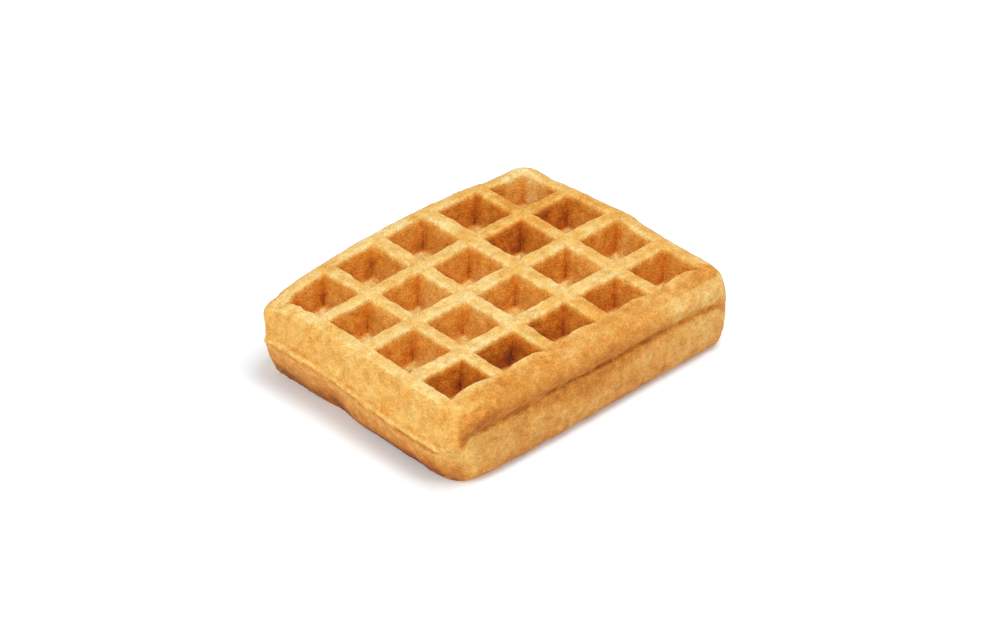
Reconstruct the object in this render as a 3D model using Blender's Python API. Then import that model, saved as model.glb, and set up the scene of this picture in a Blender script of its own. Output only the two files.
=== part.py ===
"""A thick grid waffle with five by four deep pockets on each face, as one solid.

Units are metres. X runs along the long side, Y along the short side and +Z is up.
The origin is in the middle of the surface that the waffle lies on.
"""

import bpy
import numpy as np

MM = 0.001

# The pattern that the two hot plates press into each face
PITCH = 23.0 * MM
THICKNESS = 30.5 * MM
POCKET_DEPTH = 11.0 * MM
LIP_RUN = 1.0 * MM
LIP_DROP = 0.9 * MM
WALL_RUN = 3.8 * MM
FLOOR_RISE = 0.6 * MM

# Each rib's shift from the even grid and its width, in millimetres, from west to east
# and from south to north; the first and last ribs are the rim
RIBS_ACROSS_X = ((-0.4, 5.4), (-0.4, 5.2), (-0.2, 6.0), (1.0, 6.6), (1.2, 5.6), (0.5, 5.6))
RIBS_ACROSS_Y = ((1.1, 7.6), (0.1, 6.2), (0.7, 6.2), (0.0, 5.4), (0.0, 5.6))

# The outer wall: its levels as shares of the thickness, and each side's reach there
# in millimetres, measured outwards from the flat of the outermost ribs
CORNER_RADIUS = 6.0 * MM
LEVELS = (1.0, 0.955, 0.84, 0.68, 0.58, 0.54, 0.48, 0.28, 0.09, 0.0)
REACH_WEST = (0.0, 1.3, 2.3, 3.9, 4.9, 5.4, 4.8, 3.6, 2.0, 0.0)
REACH_EAST = (0.0, 2.0, 3.1, 4.0, 4.5, 5.0, 4.5, 3.6, 2.2, 0.0)
REACH_SOUTH = (0.0, 1.9, 3.2, 3.2, 2.2, 1.3, 2.6, 4.0, 3.4, 0.0)
REACH_NORTH = (0.0, 1.6, 2.6, 3.4, 3.8, 4.1, 3.7, 3.3, 2.0, 0.0)

# Each corner's own reach: the south-west one is the slightest, the south-east one the fullest
REACH_SOUTH_WEST = (0.0, 1.2, 2.0, 2.6, 2.7, 2.7, 2.8, 2.7, 1.7, -0.6)
REACH_SOUTH_EAST = (0.0, 2.6, 4.3, 5.1, 5.2, 5.2, 5.2, 5.0, 3.8, 1.2)
REACH_NORTH_EAST = (0.0, 2.8, 4.2, 4.8, 4.9, 4.9, 4.5, 3.6, 1.9, -0.4)
REACH_NORTH_WEST = (0.0, 2.4, 3.4, 3.8, 4.0, 4.1, 3.9, 3.1, 1.4, -0.8)

# The south-west foot rolls in along the diagonal: how far out of the middle that starts, over
# what length it runs, and how far its end moves
ROLL_START = 67.0 * MM
ROLL_RUN = 10.7 * MM
ROLL_IN = 4.6 * MM

# Low waves of the wall's foot: each one's place along its side, its spread, and how far it stands out
WEST_WAVES = (
    (11.0 * MM, 5.0 * MM, -2.6 * MM),
    (-4.0 * MM, 5.0 * MM, 0.8 * MM),
    (-19.0 * MM, 9.0 * MM, 1.2 * MM),
)
SOUTH_WAVES = ((-18.0 * MM, 26.0 * MM, 1.1 * MM),)

# The bows of the rims as seen from above: how far each stands out at its middle, and how far
# its ends then fall back
NORTH_BOW, NORTH_FALL = 1.1 * MM, 4.8 * MM
EAST_BOW, EAST_FALL = 0.9 * MM, 3.4 * MM
EAST_BULGE = 1.2 * MM
SOUTH_SLANT = 1.2 * MM
WEST_FLARE = 2.8 * MM

# How far the shoulders of the top face's edge roll down
NORTH_CORNER_DROP = 1.4 * MM
SOUTH_SHOULDER = 2.3 * MM
OTHER_SHOULDER = 0.9 * MM

# Half the length and half the width of the pressed grid, which the warp is measured by
HALF_LENGTH = 58.0 * MM
HALF_WIDTH = 46.0 * MM

# How far the seam lies above its level in the middle of a side, and what that side's east or
# north end adds, in millimetres
SEAM_LIFT_SOUTH = (1.8, -1.2)
SEAM_LIFT_WEST = (-1.5, 1.1)

CRUST_COLOUR = (0.76, 0.43, 0.13, 1.0)
CRUST_ROUGHNESS = 0.6
SHARP_ANGLE = 0.6


def clear_scene():
    for obj in list(bpy.data.objects):
        bpy.data.objects.remove(obj)


def grid_lines(ribs):
    """Places of the grid lines across a row of pockets, and each one's depth.

    The depth runs from 0 on a rib to 1 on a floor.
    """
    count = len(ribs) - 1
    centres = [(index - count / 2) * PITCH + shift * MM for index, (shift, width) in enumerate(ribs)]
    halves = [width * MM / 2 for shift, width in ribs]
    lip = LIP_DROP / POCKET_DEPTH
    floor = 1.0 - FLOOR_RISE / POCKET_DEPTH
    lines = [(centres[0] - halves[0] + LIP_RUN, 0.0)]
    for here, half, after, half_after in zip(centres, halves, centres[1:], halves[1:]):
        lines += [
            (here, 0.0),
            (here + half - LIP_RUN, 0.0),
            (here + half, lip),
            (here + half + WALL_RUN, floor),
            ((here + half + after - half_after) / 2, 1.0),
            (after - half_after - WALL_RUN, floor),
            (after - half_after, lip),
            (after - half_after + LIP_RUN, 0.0),
        ]
    lines += [(centres[-1], 0.0), (centres[-1] + halves[-1] - LIP_RUN, 0.0)]
    places, depths = np.array(lines).T
    return places, depths


def round_corners(x, y, low, high):
    """Turns the square corners of the grid round, and gives each point's outward direction at the edge.

    The square of side CORNER_RADIUS in each corner is mapped onto a quarter of a disc.
    """
    over_x = np.clip(x - high[0] + CORNER_RADIUS, 0, None) + np.clip(x - low[0] - CORNER_RADIUS, None, 0)
    over_y = np.clip(y - high[1] + CORNER_RADIUS, 0, None) + np.clip(y - low[1] - CORNER_RADIUS, None, 0)
    disc_x = over_x * np.sqrt(1.0 - 0.5 * (over_y / CORNER_RADIUS) ** 2)
    disc_y = over_y * np.sqrt(1.0 - 0.5 * (over_x / CORNER_RADIUS) ** 2)
    return x - over_x + disc_x, y - over_y + disc_y, disc_x / CORNER_RADIUS, disc_y / CORNER_RADIUS


def rise(values, start, end):
    """0 up to start, 1 from end on, and straight between."""
    return np.clip((values - start) / (end - start), 0, 1)


def hump(values, middle, spread):
    """A bell curve of height 1."""
    return np.exp(-(((values - middle) / spread) ** 2))


def top_bows(across, along, height):
    """How far the pressed grid's outer rows move along X and Y."""
    to_north = rise(along, 0.3, 0.95) ** 2
    to_east = rise(across, 0.5, 0.95) ** 2
    to_west = rise(-across, 0.5, 0.95) ** 2
    inside_south = rise(-along, 0.3, 0.9) ** 2 * rise(along, -1.05, -0.95)
    east = (EAST_BOW + EAST_BULGE * hump(along, -0.05, 0.15) - EAST_FALL * rise(along, 0.1, 1.1)) * to_east
    west = WEST_FLARE * rise(along, 0, 1) ** 3 * (0.3 + 0.7 * height) * to_west
    north = (NORTH_BOW - NORTH_FALL * across**2) * to_north
    south = SOUTH_SLANT * across * inside_south
    return east - west, north - south


def shoulder_drop(across, along):
    """How far the top face's edge is rolled down, from the outermost pockets' lips outwards.

    Only the two northern corners sink with the pockets beside them.
    """
    drop = NORTH_CORNER_DROP * rise(across**2, 0, 1) ** 2 * rise(along, 0.3, 0.95) ** 2
    drop += SOUTH_SHOULDER * rise(-along, 0.915, 1.07) ** 1.4
    drop += OTHER_SHOULDER * rise(along, 0.962, 1.05) ** 1.5
    drop += OTHER_SHOULDER * rise(np.abs(across), 0.97, 1.035) ** 1.5
    return drop


def bake_warp(x, y, z):
    """The bows, slants, rolled-off shoulders and wavy foot of the baked dough.

    Only the outer row of pockets on each side moves, and the surface that it lies on stays flat.
    """
    across, along, height = x / HALF_LENGTH, y / HALF_WIDTH, z / THICKNESS
    bow_x, bow_y = top_bows(across, along, height)
    foot = rise(1.0 - 1.6 * height, 0, 1)
    west_wave = sum(out * hump(y, place, spread) for place, spread, out in WEST_WAVES)
    west_wave *= foot * rise(-across, 1.0, 1.08)
    south_wave = sum(out * hump(x, place, spread) for place, spread, out in SOUTH_WAVES)
    south_wave *= foot * rise(-along, 1.03, 1.11)
    diagonal = (-x - y) / np.sqrt(2.0)
    roll = ROLL_IN * np.clip((diagonal - ROLL_START) / ROLL_RUN, 0, 1.2) ** 2 * (1.0 - height) / np.sqrt(2.0)
    new_z = z - shoulder_drop(across, along) * height**2
    return x + bow_x - west_wave + roll, y + bow_y - south_wave + roll, new_z


def plate_face(lines_x, deep_x, lines_y, deep_y):
    """One pressed face as grids of x, y and depth.

    The depth is the shallower of the two lines' depths, so the pockets are pyramids.
    """
    x, y = np.meshgrid(lines_x, lines_y, indexing="ij")
    depth = POCKET_DEPTH * np.minimum(deep_x[:, None], deep_y[None, :])
    return x, y, depth


def rim_walk(count_x, count_y):
    """Indices of the grid's edge points, once round, anticlockwise seen from above."""
    south = [(i, 0) for i in range(count_x - 1)]
    east = [(count_x - 1, j) for j in range(count_y - 1)]
    north = [(i, count_y - 1) for i in range(count_x - 1, 0, -1)]
    west = [(0, j) for j in range(count_y - 1, 0, -1)]
    return south + east + north + west


def cell_triangles(first, deep_x, deep_y):
    """Two triangles for each grid cell, split along the line that runs from pocket corner to pocket floor."""
    count_x, count_y = len(deep_x), len(deep_y)
    faces = []
    for i in range(count_x - 1):
        for j in range(count_y - 1):
            a = first + i * count_y + j
            b, c, d = a + count_y, a + count_y + 1, a + 1
            if (deep_x[i + 1] - deep_x[i]) * (deep_y[j + 1] - deep_y[j]) > 0:
                faces += [(a, b, c), (a, c, d)]
            else:
                faces += [(a, b, d), (b, c, d)]
    return faces


def waffle_mesh():
    """Top face, bottom face and the rings of the outer wall between them, as one closed mesh."""
    lines_x, deep_x = grid_lines(RIBS_ACROSS_X)
    lines_y, deep_y = grid_lines(RIBS_ACROSS_Y)
    count_x, count_y = len(lines_x), len(lines_y)
    flat_x, flat_y, depth = plate_face(lines_x, deep_x, lines_y, deep_y)
    low, high = (lines_x[0], lines_y[0]), (lines_x[-1], lines_y[-1])
    x, y, out_x, out_y = round_corners(flat_x, flat_y, low, high)

    walk = rim_walk(count_x, count_y)
    edge = np.array([i * count_y + j for i, j in walk])
    rim_x, rim_y = x.ravel()[edge], y.ravel()[edge]
    rim_out_x, rim_out_y = out_x.ravel()[edge], out_y.ravel()[edge]
    corner = (2 * rim_out_x * rim_out_y) ** 2
    south_lift = SEAM_LIFT_SOUTH[0] + SEAM_LIFT_SOUTH[1] * rim_x / high[0]
    west_lift = SEAM_LIFT_WEST[0] + SEAM_LIFT_WEST[1] * rim_y / high[1]
    lift = np.where(rim_out_y < 0, rim_out_y**2, 0) * south_lift
    lift += np.where(rim_out_x < 0, rim_out_x**2, 0) * west_lift
    rings = []
    sides = zip(REACH_WEST, REACH_EAST, REACH_SOUTH, REACH_NORTH)
    corners = zip(REACH_SOUTH_WEST, REACH_SOUTH_EAST, REACH_NORTH_WEST, REACH_NORTH_EAST)
    for level, (west, east, south, north), (south_west, south_east, north_west, north_east) in zip(
        LEVELS, sides, corners
    ):
        side_reach = rim_out_x**2 * np.where(rim_out_x > 0, east, west)
        side_reach += rim_out_y**2 * np.where(rim_out_y > 0, north, south)
        south_reach = np.where(rim_out_x > 0, south_east, south_west)
        north_reach = np.where(rim_out_x > 0, north_east, north_west)
        corner_reach = np.where(rim_out_y > 0, north_reach, south_reach)
        reach = (side_reach + corner * (corner_reach - side_reach)) * MM
        height = level * THICKNESS + 4 * level * (1 - level) * (1 - corner) * lift * MM
        rings.append(np.stack([rim_x + rim_out_x * reach, rim_y + rim_out_y * reach, height], axis=-1))

    top = np.stack([x, y, THICKNESS - depth], axis=-1).reshape(-1, 3)
    bottom = np.stack([x, y, depth], axis=-1).reshape(-1, 3)
    points = np.concatenate([top, bottom] + rings[1:-1])
    points = np.stack(bake_warp(*points.T), axis=-1)
    points[:, :2] -= (points[:, :2].min(axis=0) + points[:, :2].max(axis=0)) / 2

    face_size = count_x * count_y
    faces = cell_triangles(0, deep_x, deep_y)
    faces += [triangle[::-1] for triangle in cell_triangles(face_size, deep_x, deep_y)]
    around = len(edge)
    loops = [edge] + [2 * face_size + n * around + np.arange(around) for n in range(len(LEVELS) - 2)]
    loops.append(edge + face_size)
    for upper, lower in zip(loops, loops[1:]):
        for k in range(around):
            after = (k + 1) % around
            faces.append((upper[k], lower[k], lower[after], upper[after]))
    return points, faces


def crust_material():
    material = bpy.data.materials.new("waffle_crust")
    material.use_nodes = True
    shader = material.node_tree.nodes["Principled BSDF"]
    shader.inputs["Base Color"].default_value = CRUST_COLOUR
    shader.inputs["Roughness"].default_value = CRUST_ROUGHNESS
    shader.inputs["Metallic"].default_value = 0.0
    return material


def make_waffle():
    points, faces = waffle_mesh()
    mesh = bpy.data.meshes.new("waffle")
    mesh.from_pydata(points.tolist(), [], [tuple(int(n) for n in face) for face in faces])
    mesh.validate()
    mesh.shade_smooth()
    mesh.set_sharp_from_angle(angle=SHARP_ANGLE)
    mesh.materials.append(crust_material())
    waffle = bpy.data.objects.new("waffle", mesh)
    bpy.context.scene.collection.objects.link(waffle)
    return waffle


def main():
    clear_scene()
    make_waffle()


main()
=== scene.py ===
"""A grid waffle on a pale table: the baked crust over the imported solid, with floor, light and camera.

Units are metres. X runs along the long side, Y along the short side and +Z is up. West, east, south and
north are the sides towards -X, +X, -Y and +Y, and the camera looks from the south-west.
"""

from types import SimpleNamespace

import bpy
import numpy as np
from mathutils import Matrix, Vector


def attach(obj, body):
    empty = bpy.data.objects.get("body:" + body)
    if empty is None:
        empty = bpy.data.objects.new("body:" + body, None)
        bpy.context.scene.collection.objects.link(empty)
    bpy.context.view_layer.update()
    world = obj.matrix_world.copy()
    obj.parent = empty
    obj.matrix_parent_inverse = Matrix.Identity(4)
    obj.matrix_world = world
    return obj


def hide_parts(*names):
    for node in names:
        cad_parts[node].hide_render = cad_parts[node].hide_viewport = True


MM = 0.001

# The pattern that the two hot plates press into each face
PITCH = 23.0 * MM
THICKNESS = 30.5 * MM
POCKET_DEPTH = 11.0 * MM
LIP_DROP = 0.9 * MM
LIP_RUN = 1.0 * MM
WALL_SLOPE = 2.5
LIP_SOFTNESS = 0.32 * MM
FLOOR_SOFTNESS = 0.6 * MM

# Each rib's shift from the even grid and its width, in millimetres; the first and last are the rim
RIBS_ACROSS_X = ((-0.4, 5.4), (-0.4, 5.2), (-0.2, 6.0), (1.0, 6.6), (1.2, 5.6), (0.5, 5.6))
RIBS_ACROSS_Y = ((1.1, 7.6), (0.1, 6.2), (0.7, 6.2), (0.0, 5.4), (0.0, 5.6))
OUTLINE_SHIFT = (-0.313 * MM, -0.397 * MM)

# A pocket's corners: how softly its two walls meet, and the fold between them, which cuts a little
# further into the lip
CORNER_SOFTNESS = 0.12 * MM
FOLD_CUT = 0.35 * MM
FOLD_WIDTH = 0.9 * MM
FOLD_LENGTH = 1.2 * MM

# The south rim swells into its pockets, and its crest is lifted there
RIM_PILLOW = 1.5 * MM
PILLOW_LIFT = 0.45 * MM
PILLOW_CREST, PILLOW_SPREAD = -0.9 * MM, 1.6 * MM

# The mouths' edges wander: how far and over what size of lump. That fades out where two ribs cross, and
# WALL_CALM of it down the walls
MOUTH_WANDER = ((0.40 * MM, 5.5 * MM), (0.20 * MM, 2.1 * MM))
CROSSING_FADE = (-2.6 * MM, -1.0 * MM)
WALL_FADE = (0.4 * MM, 2.4 * MM)
WALL_CALM = 0.7
TOP_SEED, UNDERSIDE_SEED = 11, 31

# The crust's grid: the lines to each pocket, the length that a radian of bend counts for when they are
# spaced, and the number of points at which the surface is measured for that
LINES_PER_POCKET = 50
BEND_LENGTH = 0.9 * MM
SURFACE_POINTS = 6000

# The outer wall, from the rim's flat at the top to the one below: reach outwards in
# millimetres, and height as a share of the thickness, for each side and each corner
CORNER_RADIUS = 3.6 * MM
WALL_WEST = (
    (0.0, 1.0), (1.2, 0.965), (2.1, 0.89), (3.0, 0.78), (3.7, 0.68), (4.0, 0.625), (5.0, 0.597),
    (5.5, 0.567), (5.0, 0.53), (4.6, 0.45), (3.6, 0.28), (1.9, 0.13), (0.4, 0.03), (-1.1, 0.0),
)
WALL_EAST = (
    (0.0, 1.0), (1.8, 0.965), (2.8, 0.88), (3.5, 0.77), (4.0, 0.65), (4.4, 0.575), (4.9, 0.545),
    (5.0, 0.53), (4.5, 0.505), (4.1, 0.43), (3.6, 0.28), (2.8, 0.13), (1.5, 0.03), (0.0, 0.0),
)
WALL_SOUTH = (
    (0.0, 1.0), (1.8, 0.965), (3.0, 0.885), (3.4, 0.81), (3.1, 0.735), (2.4, 0.68), (1.5, 0.637),
    (1.4, 0.607), (2.4, 0.58), (3.0, 0.53), (3.8, 0.28), (3.4, 0.12), (1.5, 0.03), (-0.8, 0.0),
)
WALL_NORTH = (
    (0.0, 1.0), (1.6, 0.965), (2.5, 0.88), (3.1, 0.77), (3.6, 0.65), (3.7, 0.575), (4.1, 0.545),
    (4.2, 0.53), (3.8, 0.505), (3.5, 0.43), (3.3, 0.28), (2.6, 0.13), (1.4, 0.03), (0.0, 0.0),
)
WALL_SOUTH_WEST = (
    (0.0, 1.0), (1.7, 0.965), (2.7, 0.90), (3.6, 0.78), (3.9, 0.66), (3.8, 0.60), (3.8, 0.565),
    (3.8, 0.545), (3.4, 0.515), (3.1, 0.43), (2.7, 0.28), (1.9, 0.13), (0.7, 0.03), (-0.6, 0.0),
)
WALL_SOUTH_EAST = (
    (0.0, 1.0), (2.0, 0.965), (3.2, 0.88), (3.9, 0.77), (4.2, 0.66), (4.0, 0.60), (3.8, 0.565),
    (4.1, 0.54), (4.1, 0.51), (4.0, 0.42), (3.7, 0.28), (2.8, 0.13), (1.5, 0.03), (0.2, 0.0),
)
WALL_NORTH_EAST = (
    (0.0, 1.0), (2.8, 0.965), (4.0, 0.88), (4.6, 0.77), (4.9, 0.65), (4.9, 0.58), (5.1, 0.55),
    (5.1, 0.53), (4.7, 0.50), (4.3, 0.43), (3.6, 0.28), (2.2, 0.13), (0.8, 0.03), (-0.4, 0.0),
)
WALL_NORTH_WEST = (
    (0.0, 1.0), (2.6, 0.965), (3.0, 0.88), (2.9, 0.77), (2.8, 0.65), (2.8, 0.58), (3.1, 0.55),
    (3.2, 0.53), (2.9, 0.50), (2.8, 0.42), (2.3, 0.28), (1.3, 0.13), (0.1, 0.03), (-1.0, 0.0),
)
WALLS = (
    WALL_WEST, WALL_EAST, WALL_SOUTH, WALL_NORTH,
    WALL_SOUTH_WEST, WALL_SOUTH_EAST, WALL_NORTH_EAST, WALL_NORTH_WEST,
)

# The wall's rings lie at these places on a profile, counted in its points: closest round the seam
SEAM_KNOT = 7.0
LAST_KNOT = 13.0
RING_PLACES = np.concatenate([
    np.linspace(0, 4, 11), np.linspace(4, 9, 19)[1:], np.linspace(9, LAST_KNOT, 10)[1:],
])

# How far the seam lies above its level in the middle of a side, and what that side's east or
# north end adds, in millimetres; and how far it wanders up and down, over lumps of two sizes
SEAM_LIFT_SOUTH = (1.8, -1.2)
SEAM_LIFT_WEST = (-1.4, 2.0)
SEAM_WANDER = ((0.55 * MM, 9.0 * MM, 41), (0.275 * MM, 4.0 * MM, 42))

# The crease under the south rim: how much deeper it gets in its middle and all along, in millimetres,
# where that middle lies and how far it spreads, and the crease's own knot and spread on the profile
CREASE_MIDDLE, CREASE_ALONG = 0.6, -0.4
CREASE_PLACE, CREASE_SPREAD = 12.0 * MM, 30.0 * MM
CREASE_KNOT, CREASE_REACH = 6.4, 0.9

# The bake's warp, as in the solid, but with a lower third wave on the west foot. The waves die out at
# FOOT_HEIGHT, a share of the thickness, and the near corner's roll stops growing at ROLL_MOST
HALF_LENGTH = 58.0 * MM
HALF_WIDTH = 46.0 * MM
ROLL_START = 67.0 * MM
ROLL_RUN = 10.7 * MM
ROLL_IN = 4.6 * MM
ROLL_MOST = 1.2
FOOT_HEIGHT = 0.625
WEST_WAVES = (
    (11.0 * MM, 5.0 * MM, -2.6 * MM),
    (-4.0 * MM, 5.0 * MM, 0.8 * MM),
    (-19.0 * MM, 9.0 * MM, 0.5 * MM),
)
SOUTH_WAVES = ((-18.0 * MM, 26.0 * MM, 1.1 * MM),)
NORTH_BOW, NORTH_FALL = 1.1 * MM, 4.8 * MM
EAST_BOW, EAST_FALL = 0.9 * MM, 3.4 * MM
EAST_BULGE = 1.2 * MM
SOUTH_SLANT = 1.2 * MM
WEST_FLARE = 2.8 * MM
FLARE_AT_FOOT = 0.3
NORTH_CORNER_DROP = 1.4 * MM
SOUTH_SHOULDER, SOUTH_SHOULDER_CURVE = 2.3 * MM, 1.4
OTHER_SHOULDER, OTHER_SHOULDER_CURVE = 0.9 * MM, 1.5

# Where each of these starts and is full, and where the bulge lies and how far it spreads, as shares of
# half the length or of half the width
NORTH_ROW = (0.3, 0.95)
END_ROW = (0.5, 0.95)
SLANTED_ROW = (0.3, 0.9)
SLANT_STOP = (-1.05, -0.95)
EAST_FALL_RUN = (0.1, 1.1)
BULGE_PLACE, BULGE_SPREAD = -0.05, 0.15
SOUTH_SHOULDER_RUN = (0.915, 1.07)
NORTH_SHOULDER_RUN = (0.962, 1.05)
END_SHOULDER_RUN = (0.97, 1.035)
WEST_WAVE_RUN = (1.0, 1.08)
SOUTH_WAVE_RUN = (1.03, 1.11)

# What the crust adds to that: the north-east corner stands up as a hood, the north-west one
# ends in a step
NORTH_EAST_HOOD = 1.9 * MM
HOOD_SPREAD_X, HOOD_SPREAD_Y = 0.14, 0.17
NORTH_WEST_STEP = 1.3 * MM
STEP_RUN_X, STEP_RUN_Y = (0.87, 0.94), (0.86, 0.97)

# The crust's relief: how high, over what size of lump, and that lump's seed
BROAD_LUMPS, SMALL_LUMPS, FINE_LUMPS = (7.0 * MM, 1), (2.6 * MM, 2), (1.2 * MM, 3)
BROAD_HEIGHT, SMALL_HEIGHT, FINE_HEIGHT = 0.22 * MM, 0.14 * MM, 0.12 * MM
RIB_TOP_CALM = 0.06 * MM
SEAM_FLAKES = ((0.35 * MM, 2.4 * MM, 6), (0.25 * MM, 1.2 * MM, 7))
SEAM_SPREAD = 1.2

# The crumbs on a pocket's floor: large and small ones, and how high they stand and how deep they sit
LARGE_CRUMBS, SMALL_CRUMBS = (3.2 * MM, 4), (1.7 * MM, 5)
SMALL_CRUMB_SHARE = 0.6
CRUMB_HEIGHT, CRUMB_SINK = 1.9 * MM, 0.5 * MM

# A second, broken ridge under the west seam, with a groove over it: height, place and spread in knots
BREAKS = (6.0 * MM, 8)
BREAK_RUN = (-0.5, 0.3)
SECOND_RIDGE = (0.6 * MM, 8.5, 0.4)
SECOND_GROOVE = (-0.3 * MM, 7.8, 0.3)

# Bands of a pocket's wall, as shares of its depth: where each starts and is full, and where the rib's
# top ends
RIB_TOP_END = (0.1, 0.3)
POCKET_WALL = (0.04, 0.17)
# The lower band of a pocket's wall takes painted shade, and painted light where it faces west
LOWER_POCKET_WALL = (0.35, 0.8)
# How far down a pocket the painted shade in its fold reaches
FOLDED_WALL = (0.05, 0.6)
CRUMBLY_FLOOR = (0.86, 0.97)
POCKET_FLOOR = (0.88, 0.98)

# Bands of the outer wall, in knots of its profile
UNDER_RIM = (0.0, 2.0)
# The south wall's painted shade from its shoulder down, which leaves the shoulder pale as a painted highlight
SOUTH_BROW_SHADE = (1.0, 3.5)
LOWER_WALL = (6.3, 7.6)
FOOT = (8.8, 11.8)
SOUTH_FOOT = (9.9, 12.3)

# How far a surface leans a way before it counts as facing there, and counts in full
FACING = (0.3, 0.7)
TURNING_SOUTH = (-0.2, 0.3)

# Where the south rim's top begins, and where it turns brown from its west end on; where the east end of
# the south wall turns pale; and how near its mouth's edge a pocket's lip turns brown
SOUTH_RIM_RUN = (39.5 * MM, 44.5 * MM)
SOUTH_RIM_WEST_END = (-58.0 * MM, -46.0 * MM)
SOUTH_EAST_END = (10.0 * MM, 52.0 * MM)
BROWN_LIP_RUN = (-0.5 * MM, 0.3 * MM)

# Middle and spread of the places that a colour fades away from on both sides: from a mouth's edge, from
# the fold between two walls, down a pocket as a share of its depth, and along X or Y
# The painted highlight on the rib just outside each pocket's lip
LIP_HIGHLIGHT = (-0.7 * MM, 0.5 * MM)
# Painted shade down the fold where a pocket's two walls meet, narrow and broad
SHARP_FOLD_SHADE, SOFT_FOLD_SHADE = (0.0, 1.3 * MM), (0.0, 4.5 * MM)
UNDER_LIP = (0.25, 0.2)
BROWNEST_SOUTH_RIM = (-40.0 * MM, 22.0 * MM)
EAST_RIM = (58.0 * MM, 14.0 * MM)
WEST_FOOT_MIDDLE = (-26.0 * MM, 16.0 * MM)
# Along X, where the painted shade below the south shoulder is deeper near the south-west corner
SOUTH_WEST_BROW_SHADE = (-45.0 * MM, 18.0 * MM)
# Along X, where the crease's painted shade is deepest
CREASE_SHADE_EAST_HALF = (36.0 * MM, 22.0 * MM)

# The same in knots of the outer wall, for the painted shade below the south shoulder and in the crease
BROW_SHADE_BAND = (3.0, 2.0)
CREASE_SHADE_BAND = (5.4, 1.2)

# The pale line along the seam, a painted highlight on its ledge: where it lies from the seam and how much
# lower on the south side, and its spread, all in knots
SEAM_LINE, SEAM_LINE_SOUTH, SEAM_LINE_SPREAD = -0.6, 1.6, 0.7

# The pale lower part of the south wall: its first knot, how much lower that is in the middle, what a
# brown patch takes off it, and the knots until it is full
PALE_START, PALE_LOWER, PALE_ON_PATCHES, PALE_RUN = 8.0, 1.3, 0.4, 0.9
PALE_MIDDLE = (-6.0 * MM, 24.0 * MM)

# How patchy the browning has to be for the seam's lines, the pale seam and loose flour to show
LINES_SHOW, SEAM_SHOWS, FLOUR_SHOWS = (-0.4, 0.4), (-0.5, 0.3), (0.2, 0.8)

# Spots that the iron baked unevenly: how much browner, then middle and spread along X and along Y. The
# pocket walls take them in full, and the ribs take a share, which sets in over a run along X
BAKING_SPOTS = (
    (0.26, -28.0 * MM, 42.0 * MM, -36.0 * MM, 13.0 * MM),
    (0.24, 36.0 * MM, 20.0 * MM, 22.0 * MM, 18.0 * MM),
    (-0.30, 50.0 * MM, 9.0 * MM, 37.0 * MM, 9.0 * MM),
    (-0.10, -20.0 * MM, 26.0 * MM, 4.0 * MM, 16.0 * MM),
)
SPOTS_ON_RIBS = 0.9
SPOTS_ON_RIBS_RUN = (-10.0 * MM, 40.0 * MM)
SOUTH_RIB_SPOT = (0.10, 0.0, 38.0 * MM, -38.0 * MM, 7.0 * MM)
PALE_LOBE = (1.0, -58.0 * MM, 8.0 * MM, -48.0 * MM, 8.0 * MM)

# Patches of uneven browning: share, size and seed
PATCHES = ((0.4, 8.0 * MM, 21), (0.4, 3.6 * MM, 22), (0.3, 1.8 * MM, 23))

# How much each place adds to the browning, which is 0 at the palest gold and 1 at dark brown. Some of it is
# painted light and shade: the highlight beside the lips and the seam's pale line, the shade in the folds, the
# crease, the hollows, below the south shoulder and low on pocket walls facing south, and the light on pocket
# walls facing west; the west and south sides' levels are partly painted light. A pocket's floor takes a level
# of its own instead, and patches and hollows come times their lumps
BROWN_AND_PAINTED_LIGHT = {
    "everywhere": 0.16, "patches": 0.22, "patches less on pocket walls": 0.12, "patches less outside": 0.08,
    "painted highlight beside the lip": -0.08, "lip": 0.16, "pocket wall": 0.12, "under the lip": 0.05,
    "painted shade low on walls facing south": 0.08, "painted light on walls facing west": -0.09, "painted light low on walls facing west": -0.07,
    "painted shade in sharp fold": 0.12, "painted shade in soft fold": 0.14, "floor": 0.08, "floor hollows": 0.3,
    "south rim all along": 0.165, "brownest south rim": 0.135, "east rim": 0.07, "underside": 0.06,
    "hollows": 0.06, "hollows on pocket walls": 0.06, "hollows outside": 0.04,
    "west": 0.08, "west under the rim": 0.05, "west lower wall": 0.16, "west foot": 0.34,
    "west foot's middle": 0.22, "north-west": 0.08, "north-west lower wall": 0.06, "north-west foot": 0.16,
    "south": 0.27, "painted shade below the south shoulder": 0.12, "south lower wall": -0.17, "more painted shade below the south-west shoulder": 0.08,
    "south foot": 0.26, "south's east end": -0.27, "crease": 0.07, "painted shade in crease's east half": 0.15,
    "far sides": 0.16, "far sides' lower wall": 0.09, "seam": -0.16, "lobe": -0.10,
}

# How much of the pale south-east end's browning comes back on the lower wall
EAST_END_CALM = 0.8

# How floury and how tanned each place is, the tan low on a pocket's walls being painted shade; the lobe, the
# south and the far sides take a share off the tan
FLOURY = {"floor": 0.7, "patches": 0.25, "lobe": 0.5}
TAN_AND_PAINTED_SHADE = {
    "lower wall": 0.5, "foot": 0.4, "upper south wall": 0.3, "south rim": 0.3, "painted shade low in pockets": 0.15,
}
LESS_TANNED = {"lobe": 0.6, "facing south": 0.3, "far sides": 0.4}

# Thin lines of colour along the west seam: how much browner, place and spread in knots. The second is painted
# shade in the groove over the second ridge, and the paler third a painted highlight on that ridge
SEAM_LINES = ((0.14, 5.3, 0.4), (0.12, 7.8, 0.4), (-0.16, 8.6, 0.4))


def linear(hex_colour):
    """Linear RGBA of an sRGB hex colour."""
    parts = np.array([int(hex_colour[n : n + 2], 16) for n in (1, 3, 5)]) / 255.0
    light = np.where(parts <= 0.04045, parts / 12.92, ((parts + 0.055) / 1.055) ** 2.4)
    return (*light.tolist(), 1.0)


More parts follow.
